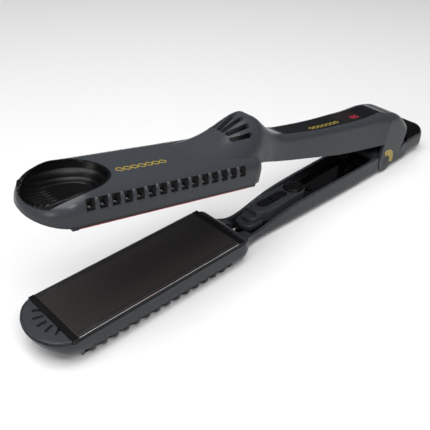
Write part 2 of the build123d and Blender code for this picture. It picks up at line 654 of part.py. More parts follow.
save(rings((0, 0, 0), (0, 1, 0), 9, 1.1, 3.9, 0.6), "torsion_spring", LOWER)

# ---- Springs that let the lower plate float ----
SHIELD_FLOOR = 1.4
cushions = []
for x in (-256.5, -161.5):
    for y in (-14.5, 14.5):
        middle = (x, y, (SHIELD_FLOOR + PLATE_FOOT) / 2)
        cushions.append(rings(middle, (0, 0, 1), 5, 0.98, 2.4, 0.6))
save(Compound(cushions), "cushion_springs", LOWER)

# ---- Inner cover, switch island and controls ----
TROUGH = -1.6
ISLAND_TOP = 7.0
ISLAND_STEPS = [(-128.6, -118.0, 5.4, 4.2), (-133.4, -120.0, 7.0, 1.2)]
ROCKER_X, ROCKER_LENGTH, ROCKER_WIDTH = -104.5, 24.0, 6.2
ROCKER_PIVOT_Z = 4.8
ROCKER_PIN = 0.8
BUTTON_X, BUTTON_RADIUS = -84.0, 5.6
BUFFER_X, BUFFER_RADIUS, BUFFER_TOP = -32.0, 2.4, 11.4
COVER_SCREW_X = (-67.0, -24.0)

with BuildPart() as inner_cover:
    with BuildSketch(Plane.XY.offset(TROUGH - 1.5)):
        with BuildLine():
            Polyline((-134, -8.6), (-124, -9.2), (-110, -9.8), (-60, -11.2), (-17, -11.2), (-17, 11.2),
                     (-60, 11.2), (-110, 9.8), (-124, 9.2), (-134, 8.6), (-134, -8.6))
        make_face()
    extrude(amount=1.5)
    for x in COVER_SCREW_X:
        with Locations((x, 0, TROUGH)):
            Cylinder(SCREW_HEAD + 0.1, 0.8, mode=Mode.SUBTRACT)
            Cylinder(SCREW_SHANK + 0.1, 8, mode=Mode.SUBTRACT)
save(inner_cover.part, "inner_cover", LOWER)

save(Compound([screw(x, 0, TROUGH + SCREW_HEAD_DEEP - 0.4, False) for x in COVER_SCREW_X]),
     "inner_cover_screws", LOWER)
save(Compound([screw(x, y, BASE + 0.3, True) for x, y in SHELL_SCREWS]), "shell_screws", LOWER)


def island_plan(height, inset=0.0):
    """Switch island from above: narrow snout, wide round the rocker, round behind the button."""
    side, snout = 7.6 - inset, 4.2 - inset
    with BuildSketch(Plane.XY.offset(height)) as plan:
        with BuildLine():
            Polyline((BUTTON_X, side), (-112, side), (-123 + inset, snout), (-123 + inset, -snout),
                     (-112, -side), (BUTTON_X, -side), (BUTTON_X, side))
        make_face()
        fillet(plan.vertices().group_by(Axis.X)[1], 6)
        with Locations((BUTTON_X, 0)):
            Circle(side)
    return plan.sketch


def island_step(front, rear, half, top):
    """A low landing with a round front, ahead of the island."""
    with BuildPart() as landing:
        add(bar((front, rear), half, (TROUGH, top)))
        fillet(landing.edges().filter_by(Axis.Z).group_by(Axis.X)[0], half - 0.6)
        fillet(landing.faces().sort_by(Axis.Z)[-1].edges().sort_by(Axis.X)[:-1], 0.8)
    return landing.part


with BuildPart() as switch_island:
    extrude(island_plan(TROUGH), amount=ISLAND_TOP - TROUGH)
    fillet(switch_island.faces().sort_by(Axis.Z)[-1].edges(), 0.9)
    # two steps down to the waist
    for step in ISLAND_STEPS:
        add(island_step(*step))
    extrude(island_plan(TROUGH, 1.6), amount=ISLAND_TOP - TROUGH - 1.8, mode=Mode.SUBTRACT)
    # web under the slot's edges that holds the rocker's pin
    for side in (-1, 1):
        with Locations((ROCKER_X, side * 4.6, (ISLAND_TOP - 1.8 + 3.0) / 2)):
            Box(4.0, 1.6, ISLAND_TOP - 1.8 - 3.0)
    with BuildSketch(Plane.XY.offset(ISLAND_TOP - 3)):
        with Locations((ROCKER_X, 0)):
            SlotOverall(ROCKER_LENGTH + 1.2, ROCKER_WIDTH + 0.8)
        with Locations((BUTTON_X, 0)):
            Circle(BUTTON_RADIUS + 0.3)
    extrude(amount=6, mode=Mode.SUBTRACT)
    with Locations(Location((ROCKER_X, 0, ROCKER_PIVOT_Z), (90, 0, 0))):
        Cylinder(ROCKER_PIN, 10.8, mode=Mode.SUBTRACT)
save(switch_island.part, "switch_island", LOWER)

with BuildPart() as temperature_rocker:
    with BuildSketch(Plane.XY.offset(4.0)):
        with Locations((ROCKER_X, 0)):
            SlotOverall(ROCKER_LENGTH, ROCKER_WIDTH)
    extrude(amount=2.9)
    fillet(temperature_rocker.faces().sort_by(Axis.Z)[-1].edges(), 0.7)
    # raised ridge that parts the two halves
    with Locations((ROCKER_X, 0, 6.9)):
        Box(1.6, ROCKER_WIDTH - 1.4, 1.2)
    with Locations((ROCKER_X, 0, 4.4)):
        Box(3.6, ROCKER_WIDTH - 0.4, 2.4)
    with Locations(Location((ROCKER_X, 0, ROCKER_PIVOT_Z), (90, 0, 0))):
        Cylinder(ROCKER_PIN + RUNNING, 4 * ROCKER_WIDTH, mode=Mode.SUBTRACT)
save(temperature_rocker.part, "temperature_rocker", LOWER)

with BuildPart() as rocker_pin:
    with Locations(Location((ROCKER_X, 0, ROCKER_PIVOT_Z), (90, 0, 0))):
        Cylinder(ROCKER_PIN, 10.6)
save(rocker_pin.part, "rocker_pin", LOWER)

with BuildPart() as power_button:
    with Locations((BUTTON_X, 0, 6.2)):
        Cylinder(BUTTON_RADIUS, 3.8)
    fillet(power_button.edges().group_by(Axis.Z)[-1], 0.8)
    with Locations((BUTTON_X, 0, 9.6)):
        Sphere(2.0, mode=Mode.SUBTRACT)
save(power_button.part, "power_button", LOWER)

with BuildPart() as button_bezel:
    with Locations((BUTTON_X, 0, ISLAND_TOP + 0.3)):
        Cylinder(BUTTON_RADIUS + 1.3, 0.6)
        Cylinder(BUTTON_RADIUS + 0.3, 0.6, mode=Mode.SUBTRACT)
    fillet(button_bezel.edges().group_by(Axis.Z)[-1], 0.25)
save(button_bezel.part, "button_bezel", LOWER)

SWITCH_X = (-111.5, -97.5, BUTTON_X)
with BuildPart() as switch_board:
    add(bar((-114.0, -80), 4.4, (-0.6, 0.6)))
save(switch_board.part, "switch_board", LOWER)

with BuildPart() as tact_switches:
    for x in SWITCH_X:
        with Locations((x, 0, 0.6 + 0.9)):
            Box(5.0, 5.0, 1.8)
        with Locations((x, 0, 2.6)):
            Cylinder(1.0, 0.6)
save(tact_switches.part, "tact_switches", LOWER)

with BuildPart() as closing_buffer:
    with Locations((BUFFER_X, 0, (TROUGH + BUFFER_TOP) / 2)):
        Cylinder(BUFFER_RADIUS, BUFFER_TOP - TROUGH)
    fillet(closing_buffer.edges().group_by(Axis.Z)[-1], 0.8)
save(closing_buffer.part, "closing_buffer", LOWER)

# ---- Rear cap with the cord swivel ----
CAP_TOP = 11.6
CAP_MIDDLE = (BASE + CAP_TOP) / 2
INLET_RADIUS = 3.2
SWIVEL_RADIUS = 5.2
SWIVEL_FLANGE = 6.8
RETAINER_RADIUS = 7.7
FLANGE_X = (43.6, 45.4)

with BuildPart() as rear_cap:
    with BuildSketch(Plane.YZ.offset(CAP_FRONT)):
        with Locations((0, CAP_MIDDLE)):
            RectangleRounded(2 * REAR_HALF, CAP_TOP - BASE, 8.0)
    extrude(amount=CAP_END - CAP_FRONT)
    fillet(rear_cap.faces().sort_by(Axis.X)[-1].edges(), 7.5)
    with BuildSketch(Plane.YZ.offset(CAP_FRONT + WALL)):
        with Locations((0, CAP_MIDDLE)):
            RectangleRounded(2 * (REAR_HALF - WALL), CAP_TOP - BASE - 2 * WALL, 6.0)
    extrude(amount=FLANGE_X[1] + 0.2 - CAP_FRONT - WALL, mode=Mode.SUBTRACT)
    with Locations(Location((CAP_END, 0, INLET_Z), (0, 90, 0))):
        Cylinder(SWIVEL_RADIUS + RUNNING, 20, mode=Mode.SUBTRACT)
    with Locations(Location((CAP_FRONT, 0, -2), (0, 90, 0))):
        Cylinder(3.0, 6, mode=Mode.SUBTRACT)
save(rear_cap.part, "rear_cap", LOWER)

with BuildPart() as cord_swivel:
    with Locations(Location((sum(FLANGE_X) / 2, 0, INLET_Z), (0, 90, 0))):
        Cylinder(SWIVEL_FLANGE, FLANGE_X[1] - FLANGE_X[0])
    with Locations(Location(((FLANGE_X[0] + SWIVEL_END) / 2, 0, INLET_Z), (0, 90, 0))):
        Cylinder(SWIVEL_RADIUS, SWIVEL_END - FLANGE_X[0])
    fillet(cord_swivel.edges().group_by(Axis.X)[-1], 1.0)
    with Locations(Location((SWIVEL_END, 0, INLET_Z), (0, 90, 0))):
        Cylinder(INLET_RADIUS, 40, mode=Mode.SUBTRACT)
save(cord_swivel.part, "cord_swivel", LOWER)

with BuildPart() as swivel_retainer:
    with Locations(Location((42.4, 0, INLET_Z), (0, 90, 0))):
        Cylinder(RETAINER_RADIUS, 1.6)
        Cylinder(INLET_RADIUS + 0.6, 1.6, mode=Mode.SUBTRACT)
save(swivel_retainer.part, "swivel_retainer", LOWER)

with BuildPart() as slip_contacts:
    for side in (-1, 1):
        with Locations((36.0, side * 5.6, INLET_Z)):
            Box(10.0, 0.8, 5.0)
save(slip_contacts.part, "slip_contacts", LOWER)
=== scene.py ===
import json
from math import cos, pi, radians, sin, sqrt

import bmesh
import bpy
from mathutils import Matrix, Vector
from mathutils.bvhtree import BVHTree


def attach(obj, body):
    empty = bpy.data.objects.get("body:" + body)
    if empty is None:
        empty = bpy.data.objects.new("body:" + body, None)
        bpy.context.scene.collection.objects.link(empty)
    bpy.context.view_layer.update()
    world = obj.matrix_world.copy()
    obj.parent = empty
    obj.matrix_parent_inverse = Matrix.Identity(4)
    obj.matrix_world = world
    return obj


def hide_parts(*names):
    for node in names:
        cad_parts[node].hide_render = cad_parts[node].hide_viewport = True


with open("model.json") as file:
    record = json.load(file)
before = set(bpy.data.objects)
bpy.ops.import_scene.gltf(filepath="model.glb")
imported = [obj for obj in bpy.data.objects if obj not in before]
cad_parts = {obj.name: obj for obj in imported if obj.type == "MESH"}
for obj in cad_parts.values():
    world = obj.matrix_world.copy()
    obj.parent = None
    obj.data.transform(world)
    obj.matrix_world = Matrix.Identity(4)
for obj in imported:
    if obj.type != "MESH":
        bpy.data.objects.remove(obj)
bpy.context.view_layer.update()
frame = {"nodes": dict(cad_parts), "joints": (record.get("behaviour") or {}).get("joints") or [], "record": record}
NODES = frame["nodes"]

# ---- Where the two arms are -------------------------------------------------------------
# Each arm has its own frame, as in the CAD: hinge axis at the origin, nose towards -X.
# Pieces are drawn in that frame in millimetres, and arm_frame() takes them to metres.
MM = 0.001
HINGE = next(joint for joint in frame["joints"] if joint["name"] == "arm_hinge")
PIVOT = Vector(HINGE["pos_m"])
OPEN = -radians(HINGE["range_deg"][0])
LOWER = Matrix.Translation(PIVOT)
UPPER = LOWER @ Matrix.Rotation(OPEN, 4, "Y")


# =========================================================================================
# Camera, floor and light
# =========================================================================================

AZIMUTH, ELEVATION = radians(-42.7), radians(35.44)
AIM = Vector((-0.0618, -0.0231, 0.0500))
DISTANCE = 0.345
FOCAL = 54.4
CLIP_START = 0.01

WORLD_COLOUR, WORLD_STRENGTH = (0.90, 0.94, 1.0, 1), 0.10
FLOOR_SIZE = 6
FLOOR_COLOUR, FLOOR_ROUGHNESS = (0.56, 0.56, 0.56, 1), 0.75
FLOOR_GLOW_COLOUR, FLOOR_GLOW = (1, 1, 1, 1), 0.10

# name: place, the point it faces, width and height in metres, and power in watts
LIGHTS = {
    "overhead": ((-0.25, -0.10, 1.00), (-0.05, 0, 0.03), (1.1, 0.9), 20.0),
    "key": ((-0.15, -0.75, 0.95), (-0.05, 0, 0.05), (0.40, 0.16), 3.5),
    "side": ((-0.95, -0.20, 0.40), (-0.05, 0, 0.05), (0.35, 0.30), 2.0),
}


def make_camera():
    data = bpy.data.cameras.new("camera")
    data.lens = FOCAL
    data.clip_start = CLIP_START
    camera = bpy.data.objects.new("camera", data)
    back = Vector((sin(AZIMUTH) * cos(ELEVATION), -cos(AZIMUTH) * cos(ELEVATION), sin(ELEVATION)))
    camera.location = AIM + DISTANCE * back
    camera.rotation_euler = (-back).to_track_quat("-Z", "Y").to_euler()
    bpy.context.scene.collection.objects.link(camera)
    bpy.context.scene.camera = camera


def area_light(name, place, aim, size, power):
    data = bpy.data.lights.new(name, "AREA")
    data.shape = "RECTANGLE"
    data.size, data.size_y = size
    data.energy = power
    light = bpy.data.objects.new(name, data)
    light.location = place
    light.rotation_euler = (Vector(aim) - Vector(place)).to_track_quat("-Z", "Y").to_euler()
    bpy.context.scene.collection.objects.link(light)


def make_studio():
    """A bright table in a dim room, so that gloss faces that look past the lamps stay black."""
    world = bpy.data.worlds.new("studio")
    world.use_nodes = True
    world.node_tree.nodes["Background"].inputs["Color"].default_value = WORLD_COLOUR
    world.node_tree.nodes["Background"].inputs["Strength"].default_value = WORLD_STRENGTH
    bpy.context.scene.world = world
    bpy.context.scene.view_settings.view_transform = "Standard"
    for name, setup in LIGHTS.items():
        area_light(name, *setup)


def make_floor():
    bpy.ops.mesh.primitive_plane_add(size=FLOOR_SIZE)
    floor = bpy.context.object
    floor.name = "floor"
    material = bpy.data.materials.new("floor_white")
    material.use_nodes = True
    shader = material.node_tree.nodes["Principled BSDF"]
    shader.inputs["Base Color"].default_value = FLOOR_COLOUR
    shader.inputs["Roughness"].default_value = FLOOR_ROUGHNESS
    shader.inputs["Emission Color"].default_value = FLOOR_GLOW_COLOUR
    shader.inputs["Emission Strength"].default_value = FLOOR_GLOW
    floor.data.materials.append(material)


# =========================================================================================
# Materials
# =========================================================================================

MATERIALS = {}
MOTTLE_DETAIL, GRAIN_DETAIL = 4, 2
SMOOTHEST = 0.02                        # lowest roughness that any finish may reach


def surface(name, colour, metallic=0.0, roughness=0.4, mottle=0.06, mottle_scale=60.0,
            grain=0.02, grain_scale=2500.0, rough_spread=0.05, specular=0.5, glow=0.0):
    """A procedural finish: slow colour mottling, uneven roughness and a fine surface grain."""
    material = bpy.data.materials.new(name)
    material.use_nodes = True
    tree = material.node_tree
    nodes, links = tree.nodes, tree.links
    shader = nodes["Principled BSDF"]
    shader.inputs["Metallic"].default_value = metallic
    shader.inputs["Specular IOR Level"].default_value = specular
    if glow:
        shader.inputs["Emission Color"].default_value = (*colour, 1)
        shader.inputs["Emission Strength"].default_value = glow
    place = nodes.new("ShaderNodeTexCoord")

    cloud = nodes.new("ShaderNodeTexNoise")
    cloud.inputs["Scale"].default_value = mottle_scale
    cloud.inputs["Detail"].default_value = MOTTLE_DETAIL
    links.new(place.outputs["Object"], cloud.inputs["Vector"])
    tint = nodes.new("ShaderNodeMix")
    tint.data_type = "RGBA"
    dark = [channel * (1 - mottle) for channel in colour]
    light = [channel * (1 + mottle) for channel in colour]
    tint.inputs["A"].default_value = (*dark, 1)
    tint.inputs["B"].default_value = (*light, 1)
    links.new(cloud.outputs["Fac"], tint.inputs["Factor"])
    links.new(tint.outputs["Result"], shader.inputs["Base Color"])

    spread = nodes.new("ShaderNodeMapRange")
    spread.inputs["To Min"].default_value = max(roughness - rough_spread, SMOOTHEST)
    spread.inputs["To Max"].default_value = roughness + rough_spread
    links.new(cloud.outputs["Fac"], spread.inputs["Value"])
    links.new(spread.outputs["Result"], shader.inputs["Roughness"])

    fine = nodes.new("ShaderNodeTexNoise")
    fine.inputs["Scale"].default_value = grain_scale
    fine.inputs["Detail"].default_value = GRAIN_DETAIL
    links.new(place.outputs["Object"], fine.inputs["Vector"])
    bump = nodes.new("ShaderNodeBump")
    bump.inputs["Strength"].default_value = 1.0
    bump.inputs["Distance"].default_value = grain * MM
    links.new(fine.outputs["Fac"], bump.inputs["Height"])
    links.new(bump.outputs["Normal"], shader.inputs["Normal"])
    MATERIALS[name] = material


def make_materials():
    surface("housing", (0.031, 0.034, 0.038), roughness=0.27, specular=0.20, grain=0.004)
    surface("gloss_black", (0.0018, 0.0018, 0.002), roughness=0.09, grain=0.001,
            rough_spread=0.02, specular=0.32)
    surface("display_glass", (0.006, 0.002, 0.002), roughness=0.07, grain=0.001)
    surface("display_body", (0.02, 0.02, 0.02), roughness=0.6)
    surface("rubber", (0.0015, 0.0015, 0.0017), roughness=0.36, specular=0.16, grain=0.012,
            grain_scale=3500)
    surface("black_plastic", (0.004, 0.004, 0.0045), roughness=0.33, specular=0.25, grain=0.008)
    surface("plate_coating", (0.022, 0.019, 0.0185), specular=0.3, roughness=0.38, grain=0.002,
            mottle=0.03, grain_scale=4000)
    surface("bright_trim", (0.85, 0.85, 0.86), metallic=1.0, roughness=0.12, grain=0.001)
    surface("rose_trim", (0.42, 0.10, 0.11), metallic=1.0, roughness=0.25, grain=0.001)
    surface("yellow_accent", (0.30, 0.215, 0.022), roughness=0.35, grain=0.004)
    surface("heater_block", (0.70, 0.68, 0.62), roughness=0.8, grain=0.03)
    surface("steel", (0.55, 0.55, 0.57), metallic=1.0, roughness=0.25, grain=0.004)
    surface("washer_plastic", (0.62, 0.60, 0.55), roughness=0.45)
    surface("mica", (0.045, 0.042, 0.040), roughness=0.7, mottle=0.3, mottle_scale=400,
            grain=0.03)
    surface("circuit_board", (0.02, 0.10, 0.04), roughness=0.35, mottle=0.15, mottle_scale=300)
    surface("contact_brass", (0.75, 0.52, 0.20), metallic=1.0, roughness=0.3)
    surface("glass_bead", (0.7, 0.66, 0.6), roughness=0.2)
    surface("wire_sleeve", (0.55, 0.52, 0.46), roughness=0.8, grain=0.05, grain_scale=1800)
    surface("black_screw", (0.02, 0.02, 0.022), metallic=0.7, roughness=0.35, grain=0.004)
    surface("lamp_red", (0.75, 0.01, 0.05), roughness=0.3, glow=0.12)


# nodes whose finish differs from the rest of their slot
FINISHES = {"inner_cover_screws": "black_screw"}


def dress_cad():
    """Gives every CAD node the finish of its slot."""
    slots = {part["node"]: part["material_slot"] for part in frame["record"]["subparts"]}
    for name, node in NODES.items():
        node.data.materials.clear()
        node.data.materials.append(MATERIALS[FINISHES.get(name, slots[name])])


# =========================================================================================
# Building pieces
# =========================================================================================

OUTSIDE = 60.0                          # mm from the arm's axis, clear of every surface
MERGE = 1e-4                            # mm
RIBBON_TAPER = 0.9                      # a ribbon's top is this share of its foot
UPRIGHT = 0.05                          # below this a path counts as running straight up


def arm_frame(upper):
    """Matrix from one arm's own millimetres to the object's metres."""
    return (UPPER if upper else LOWER) @ Matrix.Scale(MM, 4)


class Skin:
    """The outside of a few CAD nodes, probed in one arm's own frame, in millimetres."""

    def __init__(self, upper, *names):
        back = arm_frame(upper).inverted()
        points, faces = [], []
        for name in names:
            mesh = NODES[name].data
            base = len(points)
            points += [back @ vertex.co for vertex in mesh.vertices]
            faces += [[base + index for index in polygon.vertices] for polygon in mesh.polygons]
        self.tree = BVHTree.FromPolygons(points, faces)

    def top(self, x, y):
        hit = self.tree.ray_cast(Vector((x, y, OUTSIDE)), Vector((0, 0, -1)))[0]
        return hit.z if hit else None

    def side(self, x, z, side):
        hit = self.tree.ray_cast(Vector((x, side * OUTSIDE, z)), Vector((0, -side, 0)))[0]
        return abs(hit.y) if hit else None


def add_piece(name, mesh, upper, body, slot, finish=None):
    """Puts a bmesh that was drawn in an arm's frame into the scene, riding on a body."""
    bmesh.ops.remove_doubles(mesh, verts=mesh.verts, dist=MERGE)
    bmesh.ops.recalc_face_normals(mesh, faces=mesh.faces)
    mesh.transform(arm_frame(upper))
    data = bpy.data.meshes.new(name)
    mesh.to_mesh(data)
    mesh.free()
    data.shade_smooth()
    piece = bpy.data.objects.new(name, data)
    piece.data.materials.append(MATERIALS[finish or slot])
    bpy.context.scene.collection.objects.link(piece)
    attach(piece, body)
    return piece


def strip_tube(mesh, rings):
    """Joins cross-section rings of equal size into a tube with capped ends."""
    loops = [[mesh.verts.new(point) for point in ring] for ring in rings]
    count = len(loops[0])
    for first, second in zip(loops, loops[1:]):
        for k in range(count):
            after = (k + 1) % count
            mesh.faces.new((first[k], first[after], second[after], second[k]))
    mesh.faces.new(loops[0][::-1])
    mesh.faces.new(loops[-1])


def ribbon(mesh, path, width, lift, sink, height):
    """A flat raised line on a surface: path in plan, height(x, y) gives the surface under it."""
    rings = []
    for k, (x, y) in enumerate(path):
        ax, ay = path[max(k - 1, 0)]
        bx, by = path[min(k + 1, len(path) - 1)]
        length = sqrt((bx - ax) ** 2 + (by - ay) ** 2) or 1.0
        nx, ny = -(by - ay) / length * width / 2, (bx - ax) / length * width / 2
        tx, ty = nx * RIBBON_TAPER, ny * RIBBON_TAPER
        level = height(x, y)
        rings.append([(x - nx, y - ny, level - sink), (x + nx, y + ny, level - sink),
                      (x + tx, y + ty, level + lift), (x - tx, y - ty, level + lift)])
    strip_tube(mesh, rings)


def bead(mesh, path, radii, sides=10):
    """A round bead along a path of points; each point has its own radius."""
    rings = []
    for k, point in enumerate(path):
        before, after = Vector(path[max(k - 1, 0)]), Vector(path[min(k + 1, len(path) - 1)])
        along = (after - before).normalized()
        across = along.cross(Vector((0, 0, 1)))
        across = across.normalized() if across.length > UPRIGHT else Vector((1, 0, 0))
        up = across.cross(along).normalized()
        turns = [2 * pi * n / sides for n in range(sides)]
        rings.append([Vector(point) + radii[k] * (cos(turn) * across + sin(turn) * up)
                      for turn in turns])
    strip_tube(mesh, rings)


# =========================================================================================
# Thumb rest: a ribbed rubber bowl that runs out at the nose's lip
# =========================================================================================

DISH = (-261.0, 0.0)
DISH_LONG, DISH_SHORT = 23.9, 17.7
DISH_STEPS = 300
BOWL_BORDER = 1.2                       # flat edge round the bowl
BOWL_FLOOR, BOWL_TILT, BOWL_ROUND = 17.0, radians(5.6), 9.8
EDGE_INSETS = (0.0, 0.6, 1.1, 1.16, 1.22, 1.3, 1.42, 1.6, 1.85)
INSET_STEP, CENTRE_GAP = 0.2, 0.4       # ring spacing inwards, and the centre left to the cap
SETTLED_FROM, SETTLED_GAP = 3, 0.5      # further in, the bowl is used where the pad is this near
UNDERSIDE = 1.3                         # thickness of the rubber
UNDER_EDGE, UNDER_INNER = 0.1, 1.9      # the underside skips the rings between these insets

RIB_PITCH, RIB_DEPTH, RIB_REACH = 2.35, 0.95, 60.0
RIB_START, RIB_FADE, RIB_SHARPNESS = 0.4, 0.8, 0.8
ORDER_GAP, ORDER_HALVINGS = 0.02, 16
SMOOTH_ORDER, SMOOTH_ORDER_FADE = 8.0, 2.0
SMOOTH_X, SMOOTH_X_FADE = -268.0, 5.0

NOSE_FRONT, NOSE_LONG, NOSE_HALF = -264.0, 15.55, 21.05
NOSE_CLEAR, NOSE_STEPS = 0.25, 64
KNIFE_REAR, KNIFE_LEVELS = 60, (5.0, 40.0)
CREASE = radians(50)


def clamp(share):
    return min(max(share, 0.0), 1.0)


def bowl_height(x, inward):
    """Height of the smooth bowl, a given distance in from its wall."""
    floor = BOWL_FLOOR + (x - DISH[0]) * sin(BOWL_TILT)
    if inward >= BOWL_ROUND:
        return floor
    return floor + BOWL_ROUND - sqrt(BOWL_ROUND ** 2 - (BOWL_ROUND - max(inward, 0.0)) ** 2)


def rib_order(x, y):
    """Distance in from the wall in a family of U-shaped lines that are open at the nose."""
    reach = RIB_REACH if x < DISH[0] else DISH_LONG
    low, high = 0.0, DISH_SHORT - ORDER_GAP
    for _ in range(ORDER_HALVINGS):
        middle = (low + high) / 2
        spread = ((x - DISH[0]) / (reach - middle)) ** 2 + (y / (DISH_SHORT - middle)) ** 2
        low, high = (middle, high) if spread < 1 else (low, middle)
    return low


def rib_groove(x, y, inward):
    """Depth of the narrow grooves, which fade on the smooth middle and at the top of the wall."""
    if inward < RIB_START:
        return 0.0
    order = rib_order(x, y)
    swell = 1 - abs(sin(pi * order / RIB_PITCH)) ** RIB_SHARPNESS
    middle = (clamp((order - SMOOTH_ORDER) / SMOOTH_ORDER_FADE)
              * clamp((x - SMOOTH_X) / SMOOTH_X_FADE))
    return RIB_DEPTH * swell * (1 - middle) * min((inward - RIB_START) / RIB_FADE, 1.0)


def pad_top(skin, x, y):
    """Height of the CAD pad's outside; just off its edge, the nearest height inside it."""
    for shrink in (1.0, 0.985, 0.97, 0.95, 0.92):
        level = skin.top(DISH[0] + (x - DISH[0]) * shrink, y * shrink)
        if level is not None:
            return level
    return BOWL_FLOOR


def pad_rings():
    """The pad's surface as oval rings, from its edge inwards, each with its inset."""
    skin = Skin(True, "thumb_rest")
    insets = list(EDGE_INSETS)
    while insets[-1] < DISH_SHORT - CENTRE_GAP:
        insets.append(insets[-1] + INSET_STEP)
    rings = []
    for inward in insets:
        ring = []
        for k in range(DISH_STEPS):
            angle = 2 * pi * k / DISH_STEPS
            x = DISH[0] + (DISH_LONG - inward) * cos(angle)
            y = (DISH_SHORT - inward) * sin(angle)
            bulge = sqrt(max(1 - (y / NOSE_HALF) ** 2, 0))
            shell = pad_top(skin, max(x, NOSE_FRONT - NOSE_LONG * bulge + NOSE_CLEAR), y)
            level = shell
            if inward > BOWL_BORDER:
                smooth = bowl_height(x, inward - BOWL_BORDER)
                settled = inward > SETTLED_FROM and abs(shell - smooth) < SETTLED_GAP
                level = smooth if settled else min(smooth, shell)
            ring.append((x, y, level - rib_groove(x, y, inward - BOWL_BORDER)))
        rings.append((inward, ring))
    return rings


def nose_knife():
    """A block with the nose's outline, which trims whatever is intersected with it."""
    mesh = bmesh.new()
    rear = NOSE_FRONT + KNIFE_REAR
    plan = [(rear, -NOSE_HALF), (rear, NOSE_HALF)]
    for k in range(NOSE_STEPS + 1):
        angle = pi * k / NOSE_STEPS
        plan.append((NOSE_FRONT - NOSE_LONG * sin(angle), NOSE_HALF * cos(angle)))
    strip_tube(mesh, [[(x, y, z) for x, y in plan] for z in KNIFE_LEVELS])
    bmesh.ops.recalc_face_normals(mesh, faces=mesh.faces)
    mesh.transform(arm_frame(True))
    data = bpy.data.meshes.new("nose_outline")
    mesh.to_mesh(data)
    mesh.free()
    knife = bpy.data.objects.new("nose_outline", data)
    bpy.context.scene.collection.objects.link(knife)
    return knife


def make_thumb_rest():
    top = pad_rings()
    bottom = [[(x, y, min(z - UNDERSIDE, bowl_height(x, inward) - UNDERSIDE)) for x, y, z in ring]
              for inward, ring in top if inward < UNDER_EDGE or inward > UNDER_INNER]
    mesh = bmesh.new()
    strip_tube(mesh, bottom[::-1] + [ring for _, ring in top])
    piece = add_piece("thumb_rest_ribbed", mesh, True, "upper_arm", "rubber")
    knife = nose_knife()
    cut = piece.modifiers.new("trim", "BOOLEAN")
    cut.operation, cut.solver, cut.object = "INTERSECT", "EXACT", knife
    shaped = piece.evaluated_get(bpy.context.evaluated_depsgraph_get())
    trimmed = bpy.data.meshes.new_from_object(shaped)
    piece.modifiers.clear()
    piece.data = trimmed
    piece.data.shade_smooth()
    piece.data.set_sharp_from_angle(angle=CREASE)
    bpy.data.objects.remove(knife)
    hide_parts("thumb_rest")


# =========================================================================================
# Vents, neck and nose: raised details of the two shells
# =========================================================================================

VENT_FIRST, VENT_PITCH, VENT_COUNT, VENT_WIDTH = -259.4, 6.9, 15, 4.6
SHOULDER_Y, SHOULDER_Z, SHOULDER_ROUND = 14.0, 18.5, 8.0
BELLY_Y, BELLY_Z, BELLY_ROUND = 12.0, 0.6, 10.0
VENT_FOOT, VENT_HEAD = 18.2, 23.6       # the upper vents' heights
LOWER_VENT = (-7.9, -1.4)               # the lower vents' heights
# sizes of the black trays of painted shade inside the vents
UPPER_SHADE_TRAY_BACK, LOWER_SHADE_TRAY_BACK = 17.6, 16.6
SHADE_TRAY_WALL, SHADE_TRAY_GAP, SHADE_TRAY_SUNK, SHADE_TRAY_LEVELS = 0.25, 0.03, 0.35, 6

RIB_TOP, RIB_STEPS, RIB_PROUD = VENT_HEAD + 0.4, 12, -0.32
RIB_DROP = VENT_HEAD + 0.4 - VENT_FOOT + 0.9
SILL_DROP = 0.25
SILL_SHIFTS = (-2.3, -1.5, -0.7, 0.0, 0.7, 1.5, 2.3)
SILL_RADII = (0.12, 0.24, 0.26, 0.26, 0.26, 0.24, 0.12)

LOWER_RIB_TOP, LOWER_RIB_STEP, LOWER_RIB_POINTS, LOWER_RIB_SUNK = -0.4, 0.78, 11, 0.35
FEWEST_POINTS = 4                       # a rib that meets the shell at fewer is left out


def shoulder_point(x, side, height, proud):
    """A point on the upper head's rounded shoulder, a little proud of it."""
    rise = clamp((height - SHOULDER_Z) / SHOULDER_ROUND)
    reach = SHOULDER_ROUND + proud
    if height <= SHOULDER_Z:
        return (x, side * (SHOULDER_Y + reach), height)
    return (x, side * (SHOULDER_Y + reach * sqrt(1 - rise ** 2)), SHOULDER_Z + reach * rise)


def belly_reach(height):
    """How far out the lower head's rounded side is, at a height."""
    return BELLY_Y + sqrt(BELLY_ROUND ** 2 - (BELLY_Z - height) ** 2)


def upper_rib_radius(share):
    """Radius of a tear-shaped rib, from its top to its foot."""
    return 0.22 + 0.78 * sin(pi * min(share * 1.7 + 0.12, 1.0)) ** 0.8 + 0.15 * (1 - share)


def lower_rib_radius(step):
    """Radius of a lower rib, step by step from its top."""
    return 0.25 + 0.85 * sin(pi * min(0.12 + step / 12, 1.0)) ** 0.7


def make_upper_vent_ribs():
    """Tear-shaped ribs between the vents, with a fine bead under each vent."""
    mesh = bmesh.new()
    for side in (-1, 1):
        for vent in range(VENT_COUNT - 1):
            x = VENT_FIRST + (vent + 0.5) * VENT_PITCH
            shares = [step / RIB_STEPS for step in range(RIB_STEPS + 1)]
            path = [shoulder_point(x, side, RIB_TOP - share * RIB_DROP, RIB_PROUD)
                    for share in shares]
            bead(mesh, path, [upper_rib_radius(share) for share in shares], sides=12)
        for vent in range(VENT_COUNT):
            x = VENT_FIRST + vent * VENT_PITCH
            path = [shoulder_point(x + shift, side, VENT_FOOT - SILL_DROP, 0.0)
                    for shift in SILL_SHIFTS]
            bead(mesh, path, SILL_RADII, sides=8)
    add_piece("upper_vent_ribs", mesh, True, "upper_arm", "housing")


